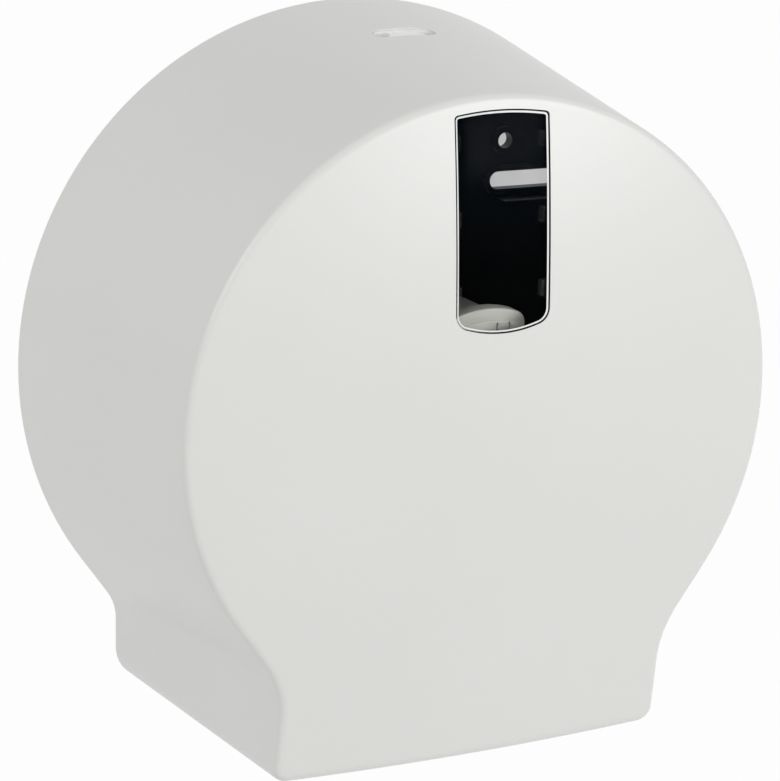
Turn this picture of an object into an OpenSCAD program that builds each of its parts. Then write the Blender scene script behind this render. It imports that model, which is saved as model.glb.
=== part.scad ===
// Wall-mounted jumbo toilet roll dispenser, millimetres.
// Plan coordinates: X to the right, Y up, Z from the wall towards the user. face_on() turns them
// so that the finished part has +Z up, its front on -Y and the roll axis through the origin.

/* [Cover] */
// Outer radius of the cover at the wall
cover_r = 139; // [136:1:142]
// Depth from the wall to the front rim
rim_depth = 127.5; // [125:0.5:130]
// How far the side walls have leaned in at the front rim
draft_inset = 18.4; // [16:0.1:19]
// Height of the domed front over the rim
dome_h = 8.5; // [7:0.5:10]
// Wall thickness of the moulded cover
wall_t = 2.5; // [2.3:0.1:2.7]
// Gap between the cover's rear edge and the wall
rear_gap = 2; // [2:0.1:2.2]
// Angle of the flank that runs from the disc to the foot
flank_deg = 35; // [34:0.5:36]

/* [Foot] */
// Height of the roll axis over the foot's underside
foot_drop = 134.5; // [134:0.5:136]
// Half width of the foot at the wall
foot_half = 99; // [97:0.5:101]
// Radius of the hollow between disc and foot, at the wall
neck_r = 20; // [18:1:22]
// Radius of the foot's bottom corners at the wall
toe_r = 15; // [14:0.5:16]
// Radius of the foot's bottom corners at the front rim
toe_front_r = 6; // [5:0.5:8]
// Half width of the paper outlet
outlet_half = 55; // [50:1:56]
// Distance of the outlet's front edge from the wall
outlet_front = 110; // [108:1:112]
// Distance of the outlet's rear edge from the wall
outlet_rear = 36; // [36:1:38]

/* [Window] */
// Half width of the sight window
window_half = 19.3; // [17:0.1:20]
// Radius of the window's top edge about the roll axis
window_top_r = 115.1; // [112:0.1:115.5]
// Height of the window's lowest point over the roll axis
window_low = 34.4; // [33:0.1:38]
// Radius of the window's bottom edge
window_low_r = 50; // [40:1:60]
// Radius of the window's bottom corners
window_corner_r = 6; // [4:0.5:8]
// Gap between the window pane and the cover
pane_gap = 0.4; // [0.3:0.1:0.8]

/* [Back plate] */
// Thickness of the back plate
plate_t = 3.5; // [3:0.5:4]
// Radius of the back plate
plate_r = 132; // [130:0.5:132]
// Depth of the back plate's rim
rim_h = 14; // [12:1:14]
// Height of the raised pads round holes and slots, from the plate's back
pad_t = 5.2; // [4.5:0.1:5.5]
// Height of the upper screw holes over the roll axis
hole_rise = 78.5; // [76:0.5:80]
// Half the distance between the left and right screw holes
hole_half = 70; // [69:0.5:72]
// Screw hole radius
hole_r = 3.25; // [2.5:0.25:3.25]
// Height of the two level slots over the roll axis
slot_rise = 62; // [60:0.5:64]
// Distance of each slot's middle from the centre line
slot_mid = 80; // [80:0.5:82]
// End-to-end length of a slot
slot_len = 33; // [30:1:34]
// Half the slot width
slot_r = 3.7; // [3:0.1:3.8]

/* [Hub] */
// Reach of the hub's four arms from the roll axis
hub_r = 41; // [39:0.5:41]
// Distance of the hub's front face from the wall
hub_front = 124; // [122:0.5:124]
// Half width of an arm
arm_half = 15.3; // [14:0.1:17]
// Radius on which a roll's core rides
core_r = 36.5; // [34:0.5:37]
// Radius of the axle
axle_r = 10; // [9:0.5:11]
// Radial clearance of the hub on the axle and of the cover on its pins
run_gap = 0.05; // [0.02:0.01:0.1]

/* [Hinge] */
// Distance of the hinge axis from the wall
hinge_out = 7.5; // [7.5:0.1:8]
// Distance of the hinge axis below the roll axis
hinge_drop = 130; // [130:0.1:130.5]
// Radius of the hinge pins
pin_r = 2; // [1.5:0.25:2.25]
// Outer radius of the hinge knuckles
knuckle_r = 4.4; // [4:0.1:4.4]

/* [Latch] */
// Distance of the latch bolt's rear face from the wall
latch_out = 47.5; // [47:0.5:48]
// Height of the drawn-back bolt's top over the roll axis
bolt_top = 122.5; // [122:0.5:122.5]
// Travel of the bolt from drawn back to locked
bolt_travel = 4.5; // [4:0.5:4.5]
// Half width of the key plate
key_half = 13; // [12.5:0.5:14]

/* [Hidden] */
$fn = 96;

function lean(z) = -draft_inset * z / rim_depth;     // sideways offset of the outer skin at depth z
function toe_at(z) = toe_r + (toe_front_r - toe_r) * z / rim_depth;
draft_deg = atan(draft_inset / rim_depth);
skin = wall_t / cos(draft_deg);                      // wall thickness measured square to the depth
rim_r = cover_r - draft_inset;
front_z = rim_depth + dome_h;
dome_r = (rim_r * rim_r + dome_h * dome_h) / (2 * dome_h);
dome_z = front_z - dome_r;
past_front = front_z + 6;
behind_wall = -10;
foot_y = -foot_drop;
over = 1;                                            // how far a cutting shape runs past what it cuts
root = 0.5;                                          // how far a rib reaches into what it stands on

// Rear outline: disc, straight flank, hollow neck, upright foot wall, round toe.
neck_x = foot_half + neck_r;
neck_c = [neck_x, -(cover_r + neck_r - neck_x * cos(flank_deg)) / sin(flank_deg)];
toe_x = foot_half - toe_r;
flange_from = outlet_rear - 18;

// Cover details
window_back = rim_depth - 10;
clip_y = [103.6, 76.3, 49.3];
clip_w = 6;
clip_half = 17;
clip_t = 1.4;
clip_reach = 1.8;
clip_gap = 0.5;
pane_t = 2;
key_hole_r = 3;
key_hole_x = 9.6;
key_slit = 1.2;
key_from = 44.4;
key_to = 53.9;
key_mid = (key_from + key_to) / 2;
key_cut = 20;                                        // how deep the key plate's cut reaches
key_drop = 4.2;                                      // height of the key plate under the cover's skin
key_sunk = 0.6;
key_fit = 0.2;
key_lip = 3;
key_lip_z = 1;
seat_gap = 0.08;                                     // keeps a seated piece clear of the cover's facets

// Hinge
hinge_y = -hinge_drop;
ear_in = 65;
ear_out = 71;
lug_in = 71.6;
lug_out = 78;
lug_h = 8;
lug_gap = 0.4;                                       // clearance of the lugs from the wall
pin_head_t = 1.5;
pin_head_r = pin_r + 1.4;
pin_past = 0.4;                                      // how far a pin stands out of the cover's ear
ear_pad_in = 57;
ear_web_to = 23;
ear_pad_from = 18.2;
ear_pad_to = 34;
ear_pad_t = 2.6;
ear_screw_in = 3;
ear_screw_z = 30;
ear_head_r = 2.5;
ear_head_t = 1.4;
flange_top = foot_y + wall_t;

// Back plate details
plate_low = hinge_y + 8;
plate_rim_t = 2.2;
plate_foot_half = 82;
plate_foot_h = 40;
rib_from = 66;
rib_to = 96;
rib_drop = 5.5;                                      // distance of the rib's foot below its slot
pad_edge = 2.5;                                      // width of a pad round its hole or slot

// Tear strips
strip_t = 1;
strip_w = 11;
tooth_pitch = 2.5;
tooth_h = 3;
strip_from = 42.5;
strip_to = 105;
strip_rivet_in = 10;
strip_head_r = 2.2;
strip_head_t = 1.2;

// Hub
axle_flange_r = 24;
axle_flange_t = 4.5;
axle_end = 108.2;
hub_back = 14.2;
hub_tube_end = 108;
hub_tube_r = 14;
flange_r = 48;
flange_t = 3;
arm_t = 7.5;
arm_corner_r = 5;
bar_half = 13;
bar_t = 3;
brake_r = 13;
brake_gap = 0.1;
washer_t = 1.5;
washer_r = 12;
screw_r = 2.5;
screw_l = 20;
screw_head_t = 3;
cap_r = 14;
cap_t = 2.5;
cap_edge = 1;
mount_screw_r = 1.75;
mount_head_t = 1.8;
axle_screw_circle = 17;

// Latch
floor_y = 111.2;
floor_t = 2;
pocket_gap = 0.4;
pocket_wall = 2.6;
bolt_half = 13;
nose_half = 10.6;
bolt_depth = 6.5;
bolt_foot_t = 2.2;
bolt_h = 6.5;
catch_half = 6.8;
catch_low = 124.5;
catch_t = 2.5;
catch_top = 127.2;
catch_pad_t = 1.2;
catch_pad_l = 10;
catch_gap = 0.8;
catch_rear = latch_out - catch_gap - catch_t;
catch_leg_w = 3;
catch_leg_gap = 2;
catch_rivet_r = 1.6;
catch_rivet_x = 4.8;
catch_rivet_t = 0.6;
housing_half = bolt_half + pocket_gap + pocket_wall;
housing_top = 121;
housing_foot_low = 102.2;
housing_foot_top = 119.2;
housing_foot_t = 3;
housing_rib_h = 7;
housing_screw_in = 5;
housing_head_r = 2.95;
housing_head_t = 1.6;
keeper_y = bolt_top - bolt_h + bolt_foot_t + bolt_travel + 0.2;
keeper_t = 1.2;
spring_r = 3;

module face_on() {
    rotate([90, 0, 0]) children();
}

module both_sides() {
    children();
    mirror([1, 0, 0]) children();
}

// A cylinder along X, from x = from to x = to.
module rod_x(r, from, to, y, z) {
    translate([from, y, z]) rotate([0, 90, 0]) cylinder(r = r, h = to - from);
}

// A cylinder along Y, from y = from to y = to.
module rod_y(r, from, to, x, z) {
    translate([x, to, z]) rotate([90, 0, 0]) cylinder(r = r, h = to - from);
}

module box(from, to) {
    translate(from) cube(to - from);
}

function arc(c, r, from, to, n) =
    [for (i = [0:n]) let (a = from + (to - from) * i / n) c + r * [cos(a), sin(a)]];

// Right half of the outline, offset outwards, from the top to the foot's underside.
function half_outline(offset, toe, bottom) = concat(
    arc([0, 0], cover_r + offset, 88.5, -flank_deg, 40),
    arc(neck_c, neck_r - offset, 180 - flank_deg, 180, 8),
    arc([foot_half + offset - toe, bottom + toe], toe, 0, -90, 8));

function mirrored(points) = [for (p = points) [-p[0], p[1], p[2]]];

// Right half of the outline at depth z, with its skin set inwards by inset.
function half_ring(z, inset, toe_less, bottom) =
    [for (p = half_outline(lean(z) - inset, toe_at(z) - toe_less, bottom)) [p[0], p[1], z]];

// The outline's solid, leaning in towards the front. Its toes are cones, so its walls are triangles.
module leaning_block(inset, toe_less, bottom) {
    rear = half_ring(behind_wall, inset, toe_less, bottom);
    front = half_ring(past_front, inset, toe_less, bottom);
    n = len(rear);
    last = n - 1;
    polyhedron(points = concat(rear, mirrored(rear), front, mirrored(front)), faces = concat(
        [for (i = [0:n - 2]) each [[2 * n + i, i, i + 1], [2 * n + i, i + 1, 2 * n + i + 1]]],
        [for (i = [0:n - 2]) each [[3 * n + i, n + i + 1, n + i], [3 * n + i, 3 * n + i + 1, n + i + 1]]],
        [for (i = [0:n - 2]) [i, n + i, n + i + 1, i + 1]],
        [for (i = [0:n - 2]) [3 * n + i, 2 * n + i, 2 * n + i + 1, 3 * n + i + 1]],
        [[n, 0, 2 * n, 3 * n], [3 * n + last, 2 * n + last, last, n + last]]));
}

module dome_ball(inset = 0) {
    translate([0, 0, dome_z]) sphere(r = dome_r - inset, $fn = 256);
}

function window_points(grow) = let (
    half = window_half + grow,
    corner = window_corner_r + grow,
    low_c = [0, window_low + window_low_r],
    low_r = window_low_r + grow,
    corner_x = half - corner,
    corner_c = [corner_x, low_c[1] - sqrt(pow(low_r - corner, 2) - pow(corner_x, 2))],
    low_a = atan2(corner_c[1] - low_c[1], corner_x),
    top_r = window_top_r + grow,
    nib = 1.5,
    nib_c = [half - nib, sqrt(pow(top_r - nib, 2) - pow(half - nib, 2))],
    nib_a = atan2(nib_c[1], nib_c[0]))
    concat(arc(low_c, low_r, -90, low_a, 6), arc(corner_c, corner, low_a, 0, 8),
        arc(nib_c, nib, 0, nib_a, 4), arc([0, 0], top_r, nib_a, 90, 6));

// Everything inside the cone that lies inset below the cover's outer skin.
module under_skin(inset) {
    cylinder(r1 = cover_r - inset, r2 = cover_r + lean(past_front) - inset, h = past_front, $fn = 360);
}

module window_prism(grow, from, to) {
    half = window_points(grow);
    translate([0, 0, from]) linear_extrude(to - from)
        polygon(concat(half, [for (i = [len(half) - 2:-1:1]) [-half[i][0], half[i][1]]]));
}

// A level slot with round ends, seen from above, for the key plate.
module key_slot(half, width, from, to) {
    translate([0, to, key_mid]) rotate([90, 0, 0]) linear_extrude(to - from) {
        square([2 * (half - width / 2), width], center = true);
        both_sides() translate([half - width / 2, 0]) circle(r = width / 2);
    }
}

module cover_shell() {
    color("white") face_on() difference() {
        intersection() {
            leaning_block(0, 0, foot_y);
            dome_ball();
            box([-cover_r, foot_y - over, rear_gap], [cover_r, cover_r, past_front]);
        }
        intersection() {
            leaning_block(skin, wall_t, flange_top);
            dome_ball(wall_t);
        }
        box([-toe_x, foot_y - over, 0], [toe_x, flange_top + over, flange_from]);
        box([-outlet_half, foot_y - over, outlet_rear], [outlet_half, flange_top + over, outlet_front]);
        window_prism(0, window_back, past_front);
        key_slot(key_half, key_to - key_from, cover_r - key_cut, cover_r + over);
    }
}

// Clear pane with six snap clips.
module window_pane() {
    color("lightcyan", 0.4) face_on() {
        intersection() {
            window_prism(-pane_gap, window_back, past_front);
            difference() {
                dome_ball();
                dome_ball(pane_t);
            }
        }
        both_sides() for (y = clip_y) {
            face_z = dome_z + sqrt(dome_r * dome_r - y * y - clip_half * clip_half);
            hook_to = face_z - wall_t - clip_gap;
            box([clip_half - clip_t / 2, y - clip_w / 2, hook_to - clip_t],
                [clip_half + clip_t / 2, y + clip_w / 2, face_z - pane_t / 2]);
            box([clip_half, y - clip_w / 2, hook_to - clip_t],
                [window_half + clip_reach, y + clip_w / 2, hook_to]);
        }
    }
}

// Insert of the key slot, with a round hole for each prong of the key.
module key_plate() {
    low = cover_r + lean(key_mid) - key_drop;
    high = cover_r;
    color("white") face_on() difference() {
        union() {
            intersection() {
                key_slot(key_half - key_fit, key_to - key_from - 2 * key_fit, low, high);
                under_skin(key_sunk);
            }
            intersection() {
                key_slot(key_half + key_lip, key_to - key_from + 2 * key_lip_z, low, high);
                under_skin(skin + seat_gap);
            }
        }
        both_sides() rod_y(key_hole_r, low - over, high, key_hole_x, key_mid);
        box([-key_hole_x, low - over, key_mid - key_slit / 2], [key_hole_x, high, key_mid + key_slit / 2]);
    }
}

// Plate that hangs from the cover's top wall and catches behind the latch bolt.
module cover_catch() {
    pad_y = catch_top - catch_pad_t;
    pad_z = catch_rear - catch_pad_l;
    color("silver") face_on() {
        box([-catch_half, catch_low, catch_rear], [catch_half, catch_top, catch_rear + catch_t]);
        box([-catch_half, pad_y, pad_z], [catch_half, catch_top, catch_rear]);
        intersection() {
            both_sides() box([catch_half - catch_leg_w, pad_y, pad_z],
                [catch_half, cover_r, catch_rear - catch_leg_gap]);
            under_skin(skin + seat_gap);
        }
    }
}

module catch_rivets() {
    y = catch_top - catch_pad_t;
    color("gainsboro") face_on() both_sides()
        rod_y(catch_rivet_r, y - catch_rivet_t, y, catch_rivet_x, catch_rear - catch_pad_l / 2);
}

// Bracket on the cover's underside that turns on the hinge pin.
module hinge_ear() {
    difference() {
        union() {
            rod_x(knuckle_r, ear_in, ear_out, hinge_y, hinge_out);
            box([ear_in, flange_top, hinge_out], [ear_out, hinge_y + knuckle_r, ear_web_to]);
            box([ear_pad_in, flange_top, ear_pad_from], [ear_out, flange_top + ear_pad_t, ear_pad_to]);
        }
        rod_x(pin_r + run_gap, ear_in - over, ear_out + over, hinge_y, hinge_out);
    }
}

module hinge_ear_right() {
    color("white") face_on() hinge_ear();
}

module hinge_ear_left() {
    color("white") face_on() mirror([1, 0, 0]) hinge_ear();
}

module ear_screws() {
    y = flange_top + ear_pad_t;
    color("silver") face_on() both_sides() for (x = [ear_pad_in + ear_screw_in, ear_out - ear_screw_in])
        rod_y(ear_head_r, y, y + ear_head_t, x, ear_screw_z);
}

// Toothed strip along one side of the outlet.
module tear_strip() {
    n = floor((strip_to - strip_from) / tooth_pitch);
    edge = outlet_half;
    teeth = [for (i = [0:n - 1]) each [[edge, strip_from + i * tooth_pitch],
        [edge - tooth_h, strip_from + (i + 0.5) * tooth_pitch]]];
    translate([0, flange_top + strip_t, 0]) rotate([90, 0, 0]) linear_extrude(strip_t)
        polygon(concat(teeth, [[edge, strip_to], [edge + strip_w, strip_to], [edge + strip_w, strip_from]]));
}

module tear_strip_right() {
    color("silver") face_on() tear_strip();
}

module tear_strip_left() {
    color("silver") face_on() mirror([1, 0, 0]) tear_strip();
}

module strip_rivets() {
    y = flange_top + strip_t;
    rows = [strip_from + strip_rivet_in, strip_to - strip_rivet_in];
    color("gainsboro") face_on() both_sides() for (z = rows)
        rod_y(strip_head_r, y, y + strip_head_t, outlet_half + strip_w / 2, z);
}

// A level slot with round ends, grown outwards all round.
module plate_slot(grow, from, to) {
    r = slot_r + grow;
    translate([slot_mid, slot_rise, from]) linear_extrude(to - from) {
        square([slot_len - 2 * slot_r, 2 * r], center = true);
        both_sides() translate([slot_len / 2 - slot_r, 0]) circle(r = r);
    }
}

// The two right-hand screw holes, grown outwards.
module plate_holes(grow, from, to) {
    for (y = [-hole_rise, hole_rise])
        translate([hole_half, y, from]) cylinder(r = hole_r + grow, h = to - from);
}

// Black plate against the wall: rimmed disc with a level lower edge and two hinge lugs.
module back_plate() {
    half = plate_foot_half;
    rib_y = slot_rise - slot_r - rib_drop;
    lug_top = plate_low + lug_h;
    color("#18191b") face_on() difference() {
        union() {
            intersection() {
                difference() {
                    cylinder(r = plate_r, h = rim_h);
                    translate([0, 0, plate_t]) cylinder(r = plate_r - plate_rim_t, h = rim_h);
                }
                box([-plate_r - over, plate_low, -over],
                    [plate_r + over, plate_r + over, rim_h + over]);
            }
            box([-half, plate_low, 0], [half, plate_low + plate_foot_h, plate_t]);
            box([-half, plate_low, plate_t - root], [half, plate_low + plate_rim_t, rim_h]);
            both_sides() {
                plate_holes(pad_edge, plate_t - root, pad_t);
                plate_slot(pad_edge, plate_t - root, pad_t);
                box([rib_from, rib_y, plate_t - root], [rib_to, rib_y + plate_rim_t, rim_h]);
                box([lug_in, hinge_y + root, lug_gap], [lug_out, lug_top, hinge_out]);
                box([lug_in, plate_low, plate_t - root], [lug_out, lug_top, rim_h - plate_rim_t]);
                rod_x(knuckle_r, lug_in, lug_out, hinge_y, hinge_out);
            }
        }
        both_sides() {
            plate_holes(0, -over, pad_t + over);
            plate_slot(0, -over, pad_t + over);
            rod_x(pin_r, lug_in - over, lug_out + over, hinge_y, hinge_out);
        }
    }
}

// Headed pin, held in the lug and free in the cover's ear.
module hinge_pin() {
    rod_x(pin_r, ear_in - pin_past, lug_out + root, hinge_y, hinge_out);
    rod_x(pin_head_r, lug_out, lug_out + pin_head_t, hinge_y, hinge_out);
}

module hinge_pin_right() {
    color("silver") face_on() hinge_pin();
}

module hinge_pin_left() {
    color("silver") face_on() mirror([1, 0, 0]) hinge_pin();
}

module axle() {
    color("#9a9c98") face_on() difference() {
        union() {
            translate([0, 0, plate_t]) cylinder(r = axle_flange_r, h = axle_flange_t);
            translate([0, 0, plate_t]) cylinder(r = axle_r, h = axle_end - plate_t);
        }
        translate([0, 0, axle_end - screw_l]) cylinder(r = screw_r, h = screw_l + over);
        axle_screw_places() translate([0, 0, plate_t - over])
            cylinder(r = mount_screw_r, h = axle_flange_t + 2 * over);
    }
}

module axle_screw_places() {
    for (a = [45:90:315]) rotate([0, 0, a]) translate([axle_screw_circle, 0, 0]) children();
}

module axle_screws() {
    color("silver") face_on() axle_screw_places() translate([0, 0, plate_t]) {
        cylinder(r = mount_screw_r, h = axle_flange_t + root);
        translate([0, 0, axle_flange_t]) cylinder(r = 2 * mount_screw_r, h = mount_head_t);
    }
}

// Soft ring that keeps the roll from running on.
module brake_ring() {
    from = plate_t + axle_flange_t;
    color("dimgray") face_on() translate([0, 0, from]) difference() {
        cylinder(r = brake_r, h = hub_back - brake_gap - from);
        translate([0, 0, -over]) cylinder(r = axle_r, h = hub_back);
    }
}

module hub_washer() {
    color("silver") face_on() translate([0, 0, axle_end]) difference() {
        cylinder(r = washer_r, h = washer_t);
        translate([0, 0, -over]) cylinder(r = screw_r, h = washer_t + 2 * over);
    }
}

module hub_screw() {
    color("silver") face_on() {
        translate([0, 0, axle_end - screw_l]) cylinder(r = screw_r, h = screw_l + washer_t + root);
        translate([0, 0, axle_end + washer_t]) cylinder(r = 2 * screw_r, h = screw_head_t);
    }
}

// Rotating hub: tube, rear flange and four bars that carry the roll's core.
module hub_body() {
    bar_end = hub_front - arm_t;
    bar_from = hub_back + root;
    color("#b4b6ac") face_on() difference() {
        union() {
            translate([0, 0, hub_back]) cylinder(r = hub_tube_r, h = hub_tube_end - hub_back);
            translate([0, 0, hub_back]) cylinder(r = flange_r, h = flange_t);
            for (a = [0:90:270]) rotate([0, 0, a]) {
                box([-bar_t / 2, hub_tube_r - 3 * root, bar_from], [bar_t / 2, core_r - 2 * root, bar_end]);
                intersection() {
                    box([-bar_half, core_r - 2 * bar_t, bar_from], [bar_half, core_r + over, bar_end]);
                    difference() {
                        translate([0, 0, hub_back]) cylinder(r = core_r, h = bar_end);
                        translate([0, 0, hub_back - over])
                            cylinder(r = core_r - bar_t, h = bar_end + 2 * over);
                    }
                }
            }
        }
        translate([0, 0, hub_back - over]) cylinder(r = axle_r + run_gap, h = hub_tube_end);
    }
}

// Four-armed front of the hub; its arms stand over the core's edge.
module hub_front() {
    corner_x = arm_half - arm_corner_r;
    corner_c = [corner_x, sqrt(pow(hub_r - arm_corner_r, 2) - pow(corner_x, 2))];
    corner_a = atan2(corner_c[1], corner_c[0]);
    half_arm = concat([[arm_half, arm_half]], arc(corner_c, arm_corner_r, 0, corner_a, 6),
        arc([0, 0], hub_r, corner_a, 90, 4));
    arm = concat(half_arm, [for (i = [len(half_arm) - 2:-1:1]) [-half_arm[i][0], half_arm[i][1]]]);
    color("#b4b6ac") face_on() translate([0, 0, hub_front - arm_t]) linear_extrude(arm_t)
        polygon([for (a = [0:90:270]) each [for (p = arm)
            [p[0] * cos(a) - p[1] * sin(a), p[0] * sin(a) + p[1] * cos(a)]]]);
}

module hub_cap() {
    color("#c6c8be") face_on() translate([0, 0, hub_front]) rotate_extrude()
        polygon([[0, 0], [cap_r, 0], [cap_r, cap_t - cap_edge], [cap_r - cap_edge, cap_t], [0, cap_t]]);
}

// Bracket under the cover's top wall that guides the latch bolt.
module latch_housing() {
    from = latch_out - pocket_gap;
    to = latch_out + bolt_depth + pocket_gap;
    color("#18191b") face_on() {
        box([-housing_half, floor_y, plate_t], [housing_half, floor_y + floor_t, to + pocket_wall]);
        box([-housing_half, housing_foot_low, plate_t],
            [housing_half, housing_foot_top, plate_t + housing_foot_t]);
        both_sides() {
            box([housing_half - pocket_wall, floor_y, from - pocket_wall],
                [housing_half, keeper_y, to + pocket_wall]);
            box([housing_half - pocket_wall, floor_y, plate_t],
                [housing_half, floor_y + housing_rib_h, from]);
        }
        box([-housing_half, floor_y, from - pocket_wall], [housing_half, housing_top, from]);
        box([-housing_half, floor_y, to], [housing_half, housing_top, to + pocket_wall]);
    }
}

module housing_screws() {
    at = [housing_half - housing_screw_in, floor_y - housing_screw_in, plate_t + housing_foot_t];
    color("silver") face_on() both_sides() translate(at) cylinder(r = housing_head_r, h = housing_head_t);
}

// Strips over the pocket's ends that stop the bolt at its top.
module latch_keepers() {
    color("silver") face_on() both_sides()
        box([nose_half + pocket_gap, keeper_y, latch_out - pocket_gap - pocket_wall],
            [housing_half, keeper_y + keeper_t, latch_out + bolt_depth + pocket_gap + pocket_wall]);
}

module latch_spring() {
    from = floor_y + floor_t;
    color("silver") face_on() rod_y(spring_r, from, bolt_top - bolt_h, 0, latch_out + bolt_depth / 2);
}

// Sliding bolt, drawn back; two prongs of a key press it down through the key plate.
module latch_bolt() {
    low = bolt_top - bolt_h;
    color("#c9a227") face_on() {
        box([-bolt_half, low, latch_out], [bolt_half, low + bolt_foot_t, latch_out + bolt_depth]);
        box([-nose_half, low, latch_out], [nose_half, bolt_top, latch_out + bolt_depth]);
    }
}

cover_shell();
window_pane();
key_plate();
cover_catch();
catch_rivets();
hinge_ear_left();
hinge_ear_right();
ear_screws();
tear_strip_left();
tear_strip_right();
strip_rivets();
back_plate();
axle();
axle_screws();
brake_ring();
hub_washer();
hub_screw();
latch_housing();
housing_screws();
latch_keepers();
latch_spring();
latch_bolt();
hinge_pin_left();
hinge_pin_right();
hub_body();
hub_front();
hub_cap();
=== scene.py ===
import bpy
import bmesh
from math import asin, atan, atan2, cos, degrees, hypot, pi, radians, sin, sqrt, tan
from mathutils import Matrix, Vector


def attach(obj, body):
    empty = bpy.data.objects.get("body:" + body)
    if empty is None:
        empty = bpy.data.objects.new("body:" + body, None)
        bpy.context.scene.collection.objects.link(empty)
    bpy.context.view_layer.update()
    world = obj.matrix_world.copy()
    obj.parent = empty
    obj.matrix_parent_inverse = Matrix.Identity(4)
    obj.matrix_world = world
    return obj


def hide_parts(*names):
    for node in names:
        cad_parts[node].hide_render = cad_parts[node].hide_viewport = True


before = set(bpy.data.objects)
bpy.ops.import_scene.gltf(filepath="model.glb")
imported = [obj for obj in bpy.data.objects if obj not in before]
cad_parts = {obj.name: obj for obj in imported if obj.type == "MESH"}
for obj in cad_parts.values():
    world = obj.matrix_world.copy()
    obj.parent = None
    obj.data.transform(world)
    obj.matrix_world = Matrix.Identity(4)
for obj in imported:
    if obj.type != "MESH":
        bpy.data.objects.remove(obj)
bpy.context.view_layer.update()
print("frame loaded,", len(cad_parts), "nodes")

mm = 0.001
tiny = 0.00001    # metres, within which two places count as one

# read off the photo's outline: places and clipping in metres, lens and sensor in millimetres
camera = {
    "place": (-0.4588, -0.9570, 0.2739),
    "forward": (0.4331, 0.8604, -0.2685),
    "up": (0.0953, 0.2525, 0.9629),
    "lens": 123.69,
    "sensor": 36.0,
    "clip": (0.05, 60.0),
}


def makeCamera(c):
    data = bpy.data.cameras.new("photoCamera")
    data.lens = c["lens"]
    data.sensor_width = c["sensor"]
    data.clip_start, data.clip_end = c["clip"]
    obj = bpy.data.objects.new("photoCamera", data)
    bpy.context.scene.collection.objects.link(obj)
    forward = Vector(c["forward"]).normalized()
    right = forward.cross(Vector(c["up"])).normalized()
    turn = Matrix((right, right.cross(forward), -forward)).transposed()
    obj.matrix_world = Matrix.Translation(c["place"]) @ turn.to_4x4()
    bpy.context.scene.camera = obj


makeCamera(camera)


def newMaterial(name):
    mat = bpy.data.materials.new(name)
    mat.use_nodes = True
    return mat, mat.node_tree, mat.node_tree.nodes["Principled BSDF"]


def objectCoords(tree, scale=(1.0, 1.0, 1.0)):
    coord = tree.nodes.new("ShaderNodeTexCoord")
    mapping = tree.nodes.new("ShaderNodeMapping")
    mapping.inputs["Scale"].default_value = scale
    tree.links.new(coord.outputs["Object"], mapping.inputs["Vector"])
    return mapping.outputs["Vector"]


def noise(tree, vector, scale, detail):
    node = tree.nodes.new("ShaderNodeTexNoise")
    node.inputs["Scale"].default_value = scale
    node.inputs["Detail"].default_value = detail
    tree.links.new(vector, node.inputs["Vector"])
    return node.outputs["Fac"]


def spread(tree, value, low, high, start=0.3, stop=0.7):
    node = tree.nodes.new("ShaderNodeMapRange")
    node.inputs["From Min"].default_value = start
    node.inputs["From Max"].default_value = stop
    node.inputs["To Min"].default_value = low
    node.inputs["To Max"].default_value = high
    tree.links.new(value, node.inputs["Value"])
    return node.outputs["Result"]


def paint(tree, shader, cloud, first, second):
    # the base colour wanders between two tones
    node = tree.nodes.new("ShaderNodeMix")
    node.data_type = "RGBA"    # its colours are inputs 6 and 7 and output 2
    node.inputs[6].default_value = (*first, 1.0)
    node.inputs[7].default_value = (*second, 1.0)
    tree.links.new(spread(tree, cloud, 0.0, 1.0), node.inputs[0])
    tree.links.new(node.outputs[2], shader.inputs["Base Color"])


def polish(tree, shader, value, rough, smoother, rougher):
    tree.links.new(spread(tree, value, rough - smoother, rough + rougher), shader.inputs["Roughness"])


def bump(tree, shader, height, distance, strength):
    node = tree.nodes.new("ShaderNodeBump")
    node.inputs["Distance"].default_value = distance
    node.inputs["Strength"].default_value = strength
    tree.links.new(height, node.inputs["Height"])
    tree.links.new(node.outputs["Normal"], shader.inputs["Normal"])


moulding = {"cloudDetail": 4.0, "grainDetail": 2.0, "roughSpread": 0.04, "bump": 0.4}


def mouldedPlastic(name, look):
    mat, tree, shader = newMaterial(name)
    m = moulding
    vector = objectCoords(tree)
    cloud = noise(tree, vector, look["cloudScale"], m["cloudDetail"])
    fine = noise(tree, vector, look["grainScale"], m["grainDetail"])
    light = tuple(min(1.0, c * (1.0 + look["cloud"])) for c in look["tone"])
    dark = tuple(c * (1.0 - look["cloud"]) for c in look["tone"])
    paint(tree, shader, cloud, dark, light)
    polish(tree, shader, fine, look["rough"], m["roughSpread"], m["roughSpread"])
    shader.inputs["Specular IOR Level"].default_value = look["specular"]
    bump(tree, shader, fine, look["grainDepth"], m["bump"])
    return mat


working = {
    "lineDetail": 4.0, "lineDepth": 0.00002, "bump": 0.3,
    "cloudScale": 40.0, "cloudDetail": 3.0, "darker": 0.82,
    "smoother": 0.08, "rougher": 0.10,
}


def workedMetal(name, look):
    # sheet or turned metal: fine lines along one direction over a soft cloud
    mat, tree, shader = newMaterial(name)
    w = working
    lines = noise(tree, objectCoords(tree, look["stretch"]), look["lineScale"], w["lineDetail"])
    cloud = noise(tree, objectCoords(tree), w["cloudScale"], w["cloudDetail"])
    dark = tuple(c * w["darker"] for c in look["tone"])
    paint(tree, shader, cloud, dark, look["tone"])
    polish(tree, shader, lines, look["rough"], w["smoother"], w["rougher"])
    shader.inputs["Metallic"].default_value = 1.0
    bump(tree, shader, lines, w["lineDepth"], w["bump"])
    return mat


paintedReflection = {
    "cloudScale": 60.0, "cloudDetail": 4.0, "smoother": 0.02, "rougher": 0.03,
    "from": 0.060, "to": 0.088,    # heights in metres between which the painted reflection grows denser
    "thin": 0.9, "thick": 1.1,
}


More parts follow.
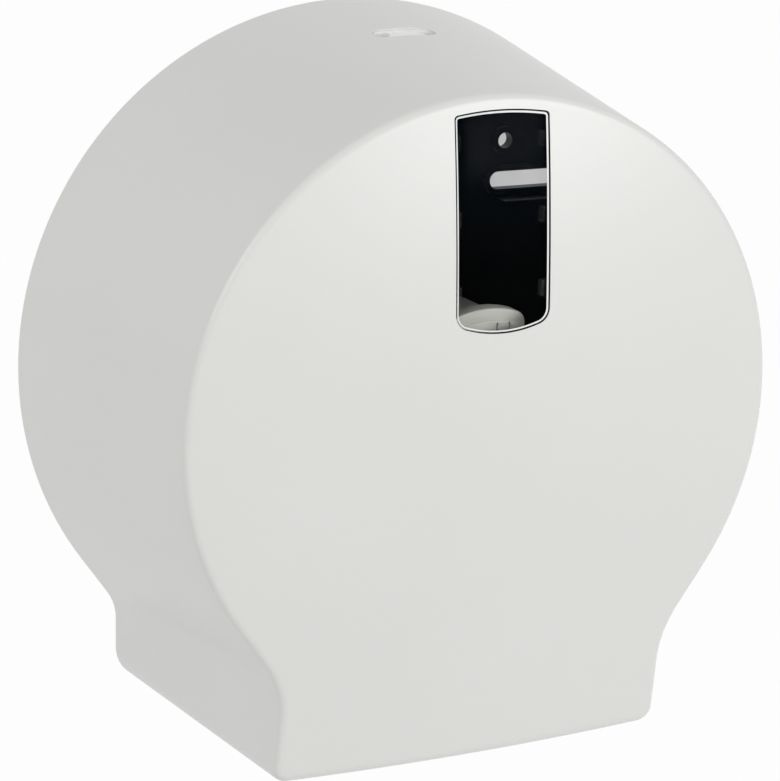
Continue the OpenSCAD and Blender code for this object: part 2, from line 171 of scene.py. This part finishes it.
def clearPlastic(name, look):
    # a light haze of painted reflection: the pane grows more opaque towards the window's top, where the
    # top's alpha is above alpha, and a noise cloud makes it uneven
    mat, tree, shader = newMaterial(name)
    h = paintedReflection
    cloud = noise(tree, objectCoords(tree), h["cloudScale"], h["cloudDetail"])
    height = tree.nodes.new("ShaderNodeSeparateXYZ")
    tree.links.new(objectCoords(tree), height.inputs["Vector"])
    reflectionFilm = spread(tree, height.outputs["Z"], look["alpha"], look["reflectionAlphaTop"], h["from"], h["to"])
    uneven = tree.nodes.new("ShaderNodeMath")
    uneven.operation = "MULTIPLY"
    tree.links.new(reflectionFilm, uneven.inputs[0])
    tree.links.new(spread(tree, cloud, h["thin"], h["thick"]), uneven.inputs[1])
    tree.links.new(uneven.outputs[0], shader.inputs["Alpha"])
    shader.inputs["Base Color"].default_value = (*look["tone"], 1.0)
    polish(tree, shader, cloud, look["rough"], h["smoother"], h["rougher"])
    shader.inputs["Specular IOR Level"].default_value = look["specular"]
    return mat


coverWhite = mouldedPlastic("coverWhite", {
    "tone": (0.74, 0.745, 0.72), "cloud": 0.012, "cloudScale": 9.0,
    "grainScale": 1800.0, "grainDepth": 0.00003, "rough": 0.34, "specular": 0.5})
insertWhite = mouldedPlastic("insertWhite", {
    "tone": (0.93, 0.94, 0.91), "cloud": 0.03, "cloudScale": 90.0,
    "grainScale": 1500.0, "grainDepth": 0.00002, "rough": 0.3, "specular": 0.5})
# painted shade: a near-black stand-in for the shade in the narrow gap round the window
gapShade = mouldedPlastic("gapShade", {
    "tone": (0.03, 0.03, 0.032), "cloud": 0.1, "cloudScale": 40.0,
    "grainScale": 1500.0, "grainDepth": 0.00001, "rough": 0.6, "specular": 0.1})
plateBlack = mouldedPlastic("plateBlack", {
    "tone": (0.006, 0.0065, 0.007), "cloud": 0.15, "cloudScale": 30.0,
    "grainScale": 1400.0, "grainDepth": 0.00001, "rough": 0.38, "specular": 0.3})
hubGrey = mouldedPlastic("hubGrey", {
    "tone": (0.70, 0.71, 0.65), "cloud": 0.03, "cloudScale": 40.0,
    "grainScale": 1500.0, "grainDepth": 0.00004, "rough": 0.42, "specular": 0.45})
brakeRubber = mouldedPlastic("brakeRubber", {
    "tone": (0.04, 0.04, 0.042), "cloud": 0.2, "cloudScale": 90.0,
    "grainScale": 900.0, "grainDepth": 0.0001, "rough": 0.75, "specular": 0.3})
zincSteel = workedMetal("zincSteel", {
    "tone": (0.62, 0.63, 0.62), "stretch": (1.0, 1.0, 8.0), "lineScale": 300.0, "rough": 0.34})
toothSteel = workedMetal("toothSteel", {
    "tone": (0.66, 0.66, 0.67), "stretch": (1.0, 14.0, 1.0), "lineScale": 260.0, "rough": 0.28})
boltBrass = workedMetal("boltBrass", {
    "tone": (0.72, 0.55, 0.25), "stretch": (10.0, 1.0, 1.0), "lineScale": 260.0, "rough": 0.30})
# painted reflection: the clear middle grows more opaque towards its top
paneClear = clearPlastic("paneClear", {
    "tone": (0.003, 0.005, 0.008), "rough": 0.06, "alpha": 0.04, "reflectionAlphaTop": 0.30, "specular": 0.015})
# painted highlight: near-white and almost opaque, standing in for the light the pane's edge carries by
# internal reflection
paneEdgeHighlight = clearPlastic("paneEdgeHighlight", {
    "tone": (0.92, 0.93, 0.91), "rough": 0.16, "alpha": 0.97, "reflectionAlphaTop": 0.97, "specular": 0.5})
clipClear = clearPlastic("clipClear", {
    "tone": (0.08, 0.085, 0.08), "rough": 0.12, "alpha": 0.16, "reflectionAlphaTop": 0.16, "specular": 0.3})
print("materials ready")


# shapes are drawn in plan coordinates: x to the right, y up, depth from the wall, in millimetres
def inFrame(x, y, depth):
    return Vector((x, -depth, y)) * mm


def smoothShade(mesh, sharp):
    mesh.polygons.foreach_set("use_smooth", [True] * len(mesh.polygons))
    mesh.set_sharp_from_angle(angle=radians(sharp))


def newObject(name, bm):
    mesh = bpy.data.meshes.new(name)
    bm.to_mesh(mesh)
    bm.free()
    obj = bpy.data.objects.new(name, mesh)
    bpy.context.scene.collection.objects.link(obj)
    return obj


def finishPiece(name, bm, mats, body, nodes, sharp=35.0):
    obj = newObject(name, bm)
    for mat in mats:
        obj.data.materials.append(mat)
    smoothShade(obj.data, sharp)
    if nodes:
        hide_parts(*nodes)
    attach(obj, body)
    return obj


def gridSheet(columns, rows, place):
    # a grid whose vertex in column i and row j goes to place(i, j)
    bm = bmesh.new()
    bmesh.ops.create_grid(bm, x_segments=columns, y_segments=rows, size=0.5)
    for v in bm.verts:
        i = round((v.co.x + 0.5) * columns)
        j = round((v.co.y + 0.5) * rows)
        v.co = place(i, j)
    bmesh.ops.remove_doubles(bm, verts=bm.verts, dist=tiny)
    return bm


def pushOut(bm, faces, shift, keep=False):
    # extrudes the faces by a vector
    out = bmesh.ops.extrude_face_region(bm, geom=faces, use_keep_orig=keep)
    moved = [g for g in out["geom"] if isinstance(g, bmesh.types.BMVert)]
    bmesh.ops.translate(bm, verts=moved, vec=shift)


def prism(points, low, high, axis="depth"):
    # a closed prism over an outline; axis is "depth" or "up"
    bm = bmesh.new()
    alongDepth = axis == "depth"
    spots = [inFrame(x, y, low) if alongDepth else inFrame(x, low, y) for x, y in points]
    face = bm.faces.new([bm.verts.new(p) for p in spots])
    pushOut(bm, [face], inFrame(0, 0, high - low) if alongDepth else inFrame(0, high - low, 0))
    bmesh.ops.recalc_face_normals(bm, faces=bm.faces)
    return bm


def box(x0, x1, y0, y1, d0, d1):
    return prism([(x0, y0), (x1, y0), (x1, y1), (x0, y1)], d0, d1)


def arc(cx, cy, r, start, stop, steps):
    # points on a circle, angles in degrees
    return [(cx + r * cos(radians(start + (stop - start) * k / steps)),
             cy + r * sin(radians(start + (stop - start) * k / steps))) for k in range(steps + 1)]


def joinInto(bm, other):
    mesh = bpy.data.meshes.new("joined")
    other.to_mesh(mesh)
    other.free()
    bm.from_mesh(mesh)
    bpy.data.meshes.remove(mesh)


def workOn(obj, tools):
    # joins or cuts with each tool, applies every modifier and leaves a plain mesh
    for tool, kind in tools:
        work = obj.modifiers.new(tool.name, "BOOLEAN")
        work.object = tool
        work.operation = kind
        work.solver = "EXACT"
    bpy.context.view_layer.update()
    graph = bpy.context.evaluated_depsgraph_get()
    mesh = bpy.data.meshes.new_from_object(obj.evaluated_get(graph))
    obj.modifiers.clear()
    obj.data = mesh
    for tool, _ in tools:
        bpy.data.objects.remove(tool)


cover = {
    "radius": 138.95,                     # the disc at the wall
    "rim": 127.5,                         # depth of the front rim
    "inset": 18.4,                        # how far the walls lean in by that depth
    "dome": 8.5, "wall": 2.5,
    "rearGap": 2.0,                       # from the wall to the cover's rear edge
    "flank": 35.0,                        # degrees below level where the disc ends
    "neck": 20.0,                         # radius of the hollow between disc and foot
    "footDrop": 134.5, "footHalf": 99.0,
    "footFrom": 100.0,                    # below this the rim takes the foot's rounding
    "toe": 15.0, "toeFront": 6.0,         # rounding of the foot's lower corners, at the wall and in front
    "rimRound": 3.4, "footRound": 5.0, "sharp": 35.0,
    "discSteps": 60, "flankSteps": 6, "neckSteps": 8, "footSteps": 5, "toeSteps": 10, "underSteps": 16,
    "wallSteps": 8, "roundSteps": 7,
    "domeRings": (0.985, 0.955, 0.91, 0.85, 0.78, 0.70, 0.61, 0.52, 0.43, 0.34, 0.25, 0.16, 0.08, 0.0),
}
rimRadius = cover["radius"] - cover["inset"]
frontDepth = cover["rim"] + cover["dome"]
domeRadius = (rimRadius ** 2 + cover["dome"] ** 2) / (2 * cover["dome"])


def domeDepth(x, y):
    return frontDepth - domeRadius + sqrt(domeRadius ** 2 - x * x - y * y)


def halfOutline(depth):
    # from the top to the middle of the underside: (x, y, normalX, normalY)
    c = cover
    spots = []
    off = -c["inset"] * depth / c["rim"]
    toe = c["toe"] + (c["toeFront"] - c["toe"]) * depth / c["rim"]
    flank = radians(c["flank"])
    neckX = c["footHalf"] + c["neck"]
    neckY = -(c["radius"] + c["neck"] - neckX * cos(flank)) / sin(flank)
    neckR = c["neck"] - off
    for x, y in arc(0, 0, c["radius"] + off, 90, -c["flank"], c["discSteps"]):
        n = hypot(x, y)
        spots.append((x, y, x / n, y / n))
    neck = arc(neckX, neckY, neckR, 180 - c["flank"], 180, c["neckSteps"])
    startX, startY = spots[-1][:2]
    for k in range(1, c["flankSteps"]):
        t = k / c["flankSteps"]
        spots.append((startX + (neck[0][0] - startX) * t, startY + (neck[0][1] - startY) * t,
                      cos(flank), -sin(flank)))
    for x, y in neck:
        spots.append((x, y, (neckX - x) / neckR, (neckY - y) / neckR))
    wallX = c["footHalf"] + off
    toeY = toe - c["footDrop"]
    for k in range(1, c["footSteps"]):
        spots.append((wallX, neckY + (toeY - neckY) * k / c["footSteps"], 1.0, 0.0))
    for x, y in arc(wallX - toe, toeY, toe, 0, -90, c["toeSteps"]):
        spots.append((x, y, (x - wallX + toe) / toe, (y - toeY) / toe))
    for k in range(1, c["underSteps"] + 1):
        spots.append(((wallX - toe) * (1 - k / c["underSteps"]), -c["footDrop"], 0.0, -1.0))
    return spots


def wholeOutline(depth):
    half = halfOutline(depth)
    return half + [(-x, y, -nx, ny) for x, y, nx, ny in reversed(half[1:-1])]


def coverRings():
    # rings of points from the rear edge over the rim and the dome to its middle
    c = cover
    wallSteps, roundSteps = c["wallSteps"], c["roundSteps"]
    rings = [[] for _ in range(wallSteps + roundSteps + 1 + len(c["domeRings"]))]
    probe = 100.0    # depth at which the walls' slope is read
    for (x0, y0, nx, ny), (x1, y1, _, _) in zip(wholeOutline(0.0), wholeOutline(probe)):
        qx, qy = (x1 - x0) / probe, (y1 - y0) / probe
        depth = c["rim"]
        for _ in range(6):    # closes in on where the wall's line meets the dome
            depth = domeDepth(x0 + qx * depth, y0 + qy * depth)
        kx, ky = x0 + qx * depth, y0 + qy * depth
        alpha = atan(-(qx * nx + qy * ny))
        beta = asin((kx * nx + ky * ny) / domeRadius)
        low = max(0.0, -ny) ** 2 if y0 < -c["footFrom"] else 0.0
        r = c["rimRound"] + (c["footRound"] - c["rimRound"]) * low
        t = r / tan((pi / 2 + alpha + beta) / 2)
        wallD = depth - cos(alpha) * t    # where the wall ends
        wx, wy = x0 + qx * wallD, y0 + qy * wallD
        for j in range(wallSteps):
            d = c["rearGap"] + (wallD - c["rearGap"]) * j / wallSteps
            rings[j].append((x0 + qx * d, y0 + qy * d, d))
        cn, cd = -cos(alpha) * r, wallD - sin(alpha) * r
        for j in range(roundSteps + 1):
            a = alpha + (pi / 2 - beta - alpha) * j / roundSteps
            n = cn + cos(a) * r
            rings[wallSteps + j].append((wx + nx * n, wy + ny * n, cd + sin(a) * r))
        ex, ey, _ = rings[wallSteps + roundSteps][-1]
        for j, s in enumerate(c["domeRings"]):
            rings[wallSteps + roundSteps + 1 + j].append((ex * s, ey * s, domeDepth(ex * s, ey * s)))
    return rings


window = {
    "half": 19.3, "top": 115.1, "low": 34.4,    # top is a radius about the disc's middle
    "lowRound": 50.0, "corner": 6.0, "nib": 1.5,
    "steps": 8, "sideSteps": 10, "nibSteps": 4,
    "shadeFrom": 120.0, "shadeOver": 0.2, "shadeTurn": 0.5,    # finds the cut's own faces
}


def windowOutline(grow):
    # right half from its lowest point to the top, then the left half
    w = window
    half, corner = w["half"] + grow, w["corner"] + grow
    lowR, topR = w["lowRound"] + grow, w["top"] + grow
    lowY = w["low"] + w["lowRound"]
    cx = half - corner
    cy = lowY - sqrt((lowR - corner) ** 2 - cx ** 2)
    lowA = degrees(atan2(cy - lowY, cx))
    nx = half - w["nib"]
    ny = sqrt((topR - w["nib"]) ** 2 - nx ** 2)
    nibA = degrees(atan2(ny, nx))
    spots = arc(0, lowY, lowR, -90, lowA, w["steps"])
    spots += arc(cx, cy, corner, lowA, 0, w["steps"])[1:]
    spots += [(half, cy + (ny - cy) * k / w["sideSteps"]) for k in range(1, w["sideSteps"])]
    spots += arc(nx, ny, w["nib"], 0, nibA, w["nibSteps"])
    spots += arc(0, 0, topR, nibA, 90, w["steps"])[1:]
    return spots + [(-x, y) for x, y in reversed(spots[1:-1])]


cuts = {
    "from": 115.0, "to": 150.0,                           # reach of the window's and the key slot's cutter
    "keyHalf": 13.0, "keyFrom": 44.4, "keyTo": 53.9,      # key slot in the top wall
    "outHalf": 55.0, "outFrom": 36.0, "outTo": 110.0,     # paper outlet in the underside
    "flangeTo": 18.0, "behind": 2.0, "below": 3.0, "above": 1.0,
}


def stadium(half, width, middle, steps=12):
    r = width / 2
    return arc(half - r, middle, r, -90, 90, steps) + arc(-half + r, middle, r, 90, 270, steps)


def makeCoverShell():
    c, u = cover, cuts
    rings = coverRings()
    count = len(rings[0])

    def place(i, j):
        return inFrame(*rings[j][i % count])

    bm = gridSheet(count, len(rings) - 1, place)
    bmesh.ops.recalc_face_normals(bm, faces=bm.faces)
    mats = [coverWhite, gapShade]
    shell = finishPiece("coverShell", bm, mats, "cover", ["cover_shell"])
    thick = shell.modifiers.new("wall", "SOLIDIFY")
    thick.thickness = c["wall"] * mm
    thick.offset = -1.0
    thick.use_even_offset = True
    key = stadium(u["keyHalf"], u["keyTo"] - u["keyFrom"], (u["keyFrom"] + u["keyTo"]) / 2)
    toeX = c["footHalf"] - c["toe"]
    low, high = -c["footDrop"] - u["below"], -c["footDrop"] + c["wall"] + u["above"]
    shapes = {
        "cutWindow": prism(windowOutline(0), u["from"], u["to"]),
        "cutKey": prism(key, u["from"], u["to"], "up"),
        "cutOutlet": box(-u["outHalf"], u["outHalf"], low, high, u["outFrom"], u["outTo"]),
        "cutHinge": box(-toeX, toeX, low, high, -u["behind"], u["flangeTo"]),
    }
    workOn(shell, [(newObject(name, shape), "DIFFERENCE") for name, shape in shapes.items()])
    smoothShade(shell.data, c["sharp"])
    shadeWindowCut(shell.data)
    return shell


def shadeWindowCut(mesh):
    # painted shade: the cover's cut faces round the window get the near-black gapShade, standing in for
    # the shade that falls in the narrow gap under the pane
    w = window
    over = w["shadeOver"]
    for face in mesh.polygons:
        x, depth, y = face.center.x / mm, -face.center.y / mm, face.center.z / mm
        inWindow = abs(x) < w["half"] + over and w["low"] - over < y < w["top"] + over
        isCut = depth > w["shadeFrom"] and abs(face.normal.y) < w["shadeTurn"]
        face.material_index = 1 if inWindow and isCut else 0


coverShell = makeCoverShell()
print("cover shell:", len(coverShell.data.polygons), "faces")


pane = {
    "gap": 0.6, "thick": 2.0, "rows": 20, "columns": 3,
    "rim": 0.65, "rimShift": -0.25, "rimDrop": 0.25,    # painted highlight: an opaque white border round the clear middle, wider on the right, stands in for light carried round the pane's edge
}


def sliceAt(bm, place, direction):
    bmesh.ops.bisect_plane(bm, geom=bm.verts[:] + bm.edges[:] + bm.faces[:], dist=tiny,
                           plane_co=place, plane_no=direction)


def makePane():
    # one face over the outline, cut into strips, laid on the dome and given its thickness
    w, p = window, pane
    bm = bmesh.new()
    front = bm.faces.new([bm.verts.new(inFrame(x, y, 0)) for x, y in windowOutline(-p["gap"])])
    bm.normal_update()
    if front.normal.y > 0:
        bmesh.ops.reverse_faces(bm, faces=[front])
    bmesh.ops.inset_region(bm, faces=[front], thickness=p["rim"] * mm, use_even_offset=True,
                           use_boundary=True)
    inner = max(bm.faces, key=lambda f: f.calc_area())
    bmesh.ops.translate(bm, verts=inner.verts, vec=inFrame(p["rimShift"], 0, 0))
    # the border takes the painted highlight, the middle stays clear
    for face in bm.faces:
        face.material_index = 0 if face == inner else 1
    for k in range(1, p["rows"]):
        y = w["low"] + (w["top"] - w["low"]) * k / p["rows"]
        sliceAt(bm, inFrame(0, y, 0), (0, 0, 1))
    for k in range(1 - p["columns"], p["columns"]):
        sliceAt(bm, inFrame(w["half"] * k / p["columns"], 0, 0), (1, 0, 0))
    outer = {v for e in bm.edges if e.is_boundary for v in e.verts}
    for v in bm.verts:
        v.co.y = -domeDepth(v.co.x / mm, v.co.z / mm) * mm
    bmesh.ops.translate(bm, verts=list(outer), vec=inFrame(0, 0, -p["rimDrop"]))
    fronts = set(bm.faces)
    pushOut(bm, bm.faces[:], inFrame(0, 0, -p["thick"]), keep=True)
    for face in bm.faces:
        if face not in fronts:
            face.material_index = 0
    bmesh.ops.recalc_face_normals(bm, faces=bm.faces)
    finishPiece("sightPane", bm, [paneClear, paneEdgeHighlight], "cover", ["window_pane"])


clip = {
    "rows": (103.6, 76.3, 49.3), "tall": 6.0,     # heights of the three pairs
    "x": 17.0, "half": 0.7, "reach": 20.6,
    "from": 4.3, "stemTo": 1.2, "hookTo": 3.0,    # depths under the dome's skin
    "edge": 0.25, "edgeSteps": 2,
}


def makeClip(name, side, y):
    # a stem behind the pane whose hook reaches under the cover's wall
    c = clip
    x, tip, tall = side * c["x"], side * c["reach"], c["tall"] / 2
    skin = domeDepth(x, y)
    bm = box(x - c["half"], x + c["half"], y - tall, y + tall, skin - c["from"], skin - c["stemTo"])
    joinInto(bm, box(min(x, tip), max(x, tip), y - tall, y + tall, skin - c["from"], skin - c["hookTo"]))
    bmesh.ops.bevel(bm, geom=bm.edges, offset=c["edge"] * mm, segments=c["edgeSteps"], affect="EDGES",
                    profile=0.5, material=-1)
    finishPiece(name, bm, [clipClear], "cover", ())


makePane()
for side, word in ((-1, "Left"), (1, "Right")):
    for row, height in enumerate(clip["rows"]):
        makeClip("paneClip" + word + str(row + 1), side, height)
print("window done")


hub = {
    "reach": 41.0, "armHalf": 15.3, "corner": 5.0, "front": 124.0, "thick": 7.5,
    "coreReach": 36.5, "coreHalf": 14.3, "coreCorner": 1.5, "raise": 0.6, "sink": 1.0,    # raised face
    "eyeX": 5.9, "eyeY": 34.1, "eyeIn": 2.35, "eyeOut": 3.0,    # the ring that the crescents are cut from
    "eyeTurn": 30, "eyeDeep": 1.4, "eyeOver": 2.0,
    "edge": 0.5, "edgeSteps": 3, "coreSteps": 2, "roundSteps": 6, "eyeSteps": 8, "sharp": 30.0,
}
quarterTurns = ((1, 0), (0, 1), (-1, 0), (0, -1))    # cosine and sine


def turned(points, c, s):
    return [(x * c - y * s, x * s + y * c) for x, y in points]


def crossOutline(reach, half, corner):
    # four like arms; the first points up and starts at its right-hand root
    steps = hub["roundSteps"]
    cx = half - corner
    cy = sqrt((reach - corner) ** 2 - cx ** 2)
    turn = degrees(atan2(cy, cx))
    right = [(half, half)] + arc(cx, cy, corner, 0, turn, steps) + arc(0, 0, reach, turn, 90, steps)[1:]
    arm = right + [(-x, y) for x, y in reversed(right[1:-1])]
    return [spot for c, s in quarterTurns for spot in turned(arm, c, s)]


def roundEdges(bm, width, segments):
    # rounds the edges of both end faces of a prism that stands along the depth
    flat = [e for e in bm.edges if abs(e.verts[0].co.y - e.verts[1].co.y) < tiny]
    bmesh.ops.bevel(bm, geom=flat, offset=width * mm, segments=segments, affect="EDGES", profile=0.5,
                    material=-1)


def crescents():
    # two facing crescents near each arm's tip, right of its middle
    h = hub
    bm = bmesh.new()
    low, high = h["front"] + h["raise"] - h["eyeDeep"], h["front"] + h["eyeOver"]
    for c, s in quarterTurns:
        for turn in (0, 180):
            a, b = turn - h["eyeTurn"], turn + h["eyeTurn"]
            band = arc(h["eyeX"], h["eyeY"], h["eyeOut"], a, b, h["eyeSteps"])
            band += arc(h["eyeX"], h["eyeY"], h["eyeIn"], b, a, h["eyeSteps"])
            joinInto(bm, prism(turned(band, c, s), low, high))
    return bm


def makeHubFront():
    h = hub
    arms = crossOutline(h["reach"], h["armHalf"], h["corner"])
    bm = prism(arms, h["front"] - h["thick"], h["front"])
    roundEdges(bm, h["edge"], h["edgeSteps"])
    core = crossOutline(h["coreReach"], h["coreHalf"], h["coreCorner"])
    face = prism(core, h["front"] - h["sink"], h["front"] + h["raise"])
    roundEdges(face, h["raise"] / 2, h["coreSteps"])
    front = finishPiece("hubFront", bm, [hubGrey], "hub", ["hub_front"])
    raised = newObject("raisedFace", face)
    grooves = newObject("cutGrooves", crescents())
    workOn(front, [(raised, "UNION"), (grooves, "DIFFERENCE")])
    smoothShade(front.data, h["sharp"])
    return front


hubFront = makeHubFront()
print("hub front:", len(hubFront.data.polygons), "faces")


spring = {
    "radius": 2.7, "wire": 0.25, "from": 113.2, "to": 116.0, "depth": 50.75,
    "turns": 4, "steps": 24, "sides": 8,
}


def makeSpring():
    # a wound wire between the pocket's floor and the bolt
    s = spring
    bm = bmesh.new()
    bmesh.ops.create_circle(bm, segments=s["sides"], radius=s["wire"] * mm)
    start = inFrame(s["radius"], s["from"] + s["wire"], s["depth"])
    turn = Matrix.Rotation(pi / 2, 4, "X")
    bmesh.ops.transform(bm, verts=bm.verts, matrix=Matrix.Translation(start) @ turn)
    count = s["turns"] * s["steps"]
    climb = (s["to"] - s["from"] - 2 * s["wire"]) * mm
    bmesh.ops.spin(bm, geom=bm.edges[:], cent=inFrame(0, 0, s["depth"]), axis=(0, 0, 1),
                   angle=2 * pi * s["turns"], steps=count, dvec=(0, 0, climb / count))
    bmesh.ops.holes_fill(bm, edges=[e for e in bm.edges if e.is_boundary], sides=s["sides"])
    bmesh.ops.recalc_face_normals(bm, faces=bm.faces)
    finishPiece("latchSpring", bm, [zincSteel], "root", ["latch_spring"])


makeSpring()
print("latch spring done")

# every node that isn't named here is plated steel
finishes = {
    "key_plate": insertWhite, "hinge_ear_left": coverWhite, "hinge_ear_right": coverWhite,
    "back_plate": plateBlack, "latch_housing": plateBlack, "brake_ring": brakeRubber,
    "hub_body": hubGrey, "hub_front": hubGrey, "hub_cap": hubGrey, "axle": hubGrey,
    "latch_bolt": boltBrass, "tear_strip_left": toothSteel, "tear_strip_right": toothSteel,
}
for name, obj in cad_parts.items():
    obj.data.materials.clear()
    obj.data.materials.append(finishes.get(name, zincSteel))
print("CAD nodes finished")


# places and sizes of the surroundings are in metres
floor = {"radius": 12.0, "segments": 64, "height": -0.62, "tone": 0.82, "rough": 0.9, "white": 0.965}
daylight = 0.50
lamps = {
    "frontSoft": {"place": (1.02, -1.95, 0.42), "size": (0.9, 0.7), "power": 18},
    "leftSoft": {"place": (-1.8, -0.6, 1.1), "size": (1.3, 1.1), "power": 12.5},
}
lampTarget = (0, -0.06, 0)


def seenRays(tree):
    # camera, glossy and transmission rays see the white background
    path = tree.nodes.new("ShaderNodeLightPath")
    total = path.outputs["Is Camera Ray"]
    for kind in ("Is Glossy Ray", "Is Transmission Ray"):
        add = tree.nodes.new("ShaderNodeMath")
        add.operation = "ADD"
        add.use_clamp = True
        tree.links.new(total, add.inputs[0])
        tree.links.new(path.outputs[kind], add.inputs[1])
        total = add.outputs[0]
    return total


def blend(tree, share, first, second, output):
    mix = tree.nodes.new("ShaderNodeMixShader")
    tree.links.new(share, mix.inputs[0])
    tree.links.new(first.outputs[0], mix.inputs[1])
    tree.links.new(second.outputs[0], mix.inputs[2])
    tree.links.new(mix.outputs[0], tree.nodes[output].inputs["Surface"])


def makeFloor(f):
    bm = bmesh.new()
    bmesh.ops.create_circle(bm, cap_ends=True, segments=f["segments"], radius=f["radius"])
    bmesh.ops.translate(bm, verts=bm.verts, vec=(0, 0, f["height"]))
    obj = newObject("floor", bm)
    mat, tree, shader = newMaterial("floorPale")
    shader.inputs["Base Color"].default_value = (f["tone"], f["tone"], f["tone"], 1.0)
    shader.inputs["Roughness"].default_value = f["rough"]
    share = tree.nodes.new("ShaderNodeMath")
    share.operation = "MULTIPLY"
    share.inputs[1].default_value = f["white"]
    tree.links.new(seenRays(tree), share.inputs[0])
    blend(tree, share.outputs[0], shader, tree.nodes.new("ShaderNodeEmission"), "Material Output")
    obj.data.materials.append(mat)


def makeWorld(level):
    world = bpy.data.worlds.new("studio")
    bpy.context.scene.world = world
    world.use_nodes = True
    tree = world.node_tree
    light = tree.nodes["Background"]
    white = tree.nodes.new("ShaderNodeBackground")
    light.inputs["Strength"].default_value = level
    for node in (light, white):
        node.inputs["Color"].default_value = (1.0, 1.0, 1.0, 1.0)
    blend(tree, seenRays(tree), light, white, "World Output")


def makeLamp(name, look):
    data = bpy.data.lights.new(name, "AREA")
    data.shape = "RECTANGLE"
    data.size, data.size_y = look["size"]
    data.energy = look["power"]
    obj = bpy.data.objects.new(name, data)
    bpy.context.scene.collection.objects.link(obj)
    obj.location = look["place"]
    aim = Vector(lampTarget) - Vector(look["place"])
    obj.rotation_euler = aim.to_track_quat("-Z", "Y").to_euler()


makeFloor(floor)
makeWorld(daylight)
for name, look in lamps.items():
    makeLamp(name, look)
print("floor and lamps done")

scene = bpy.context.scene
scene.view_settings.view_transform = "Standard"
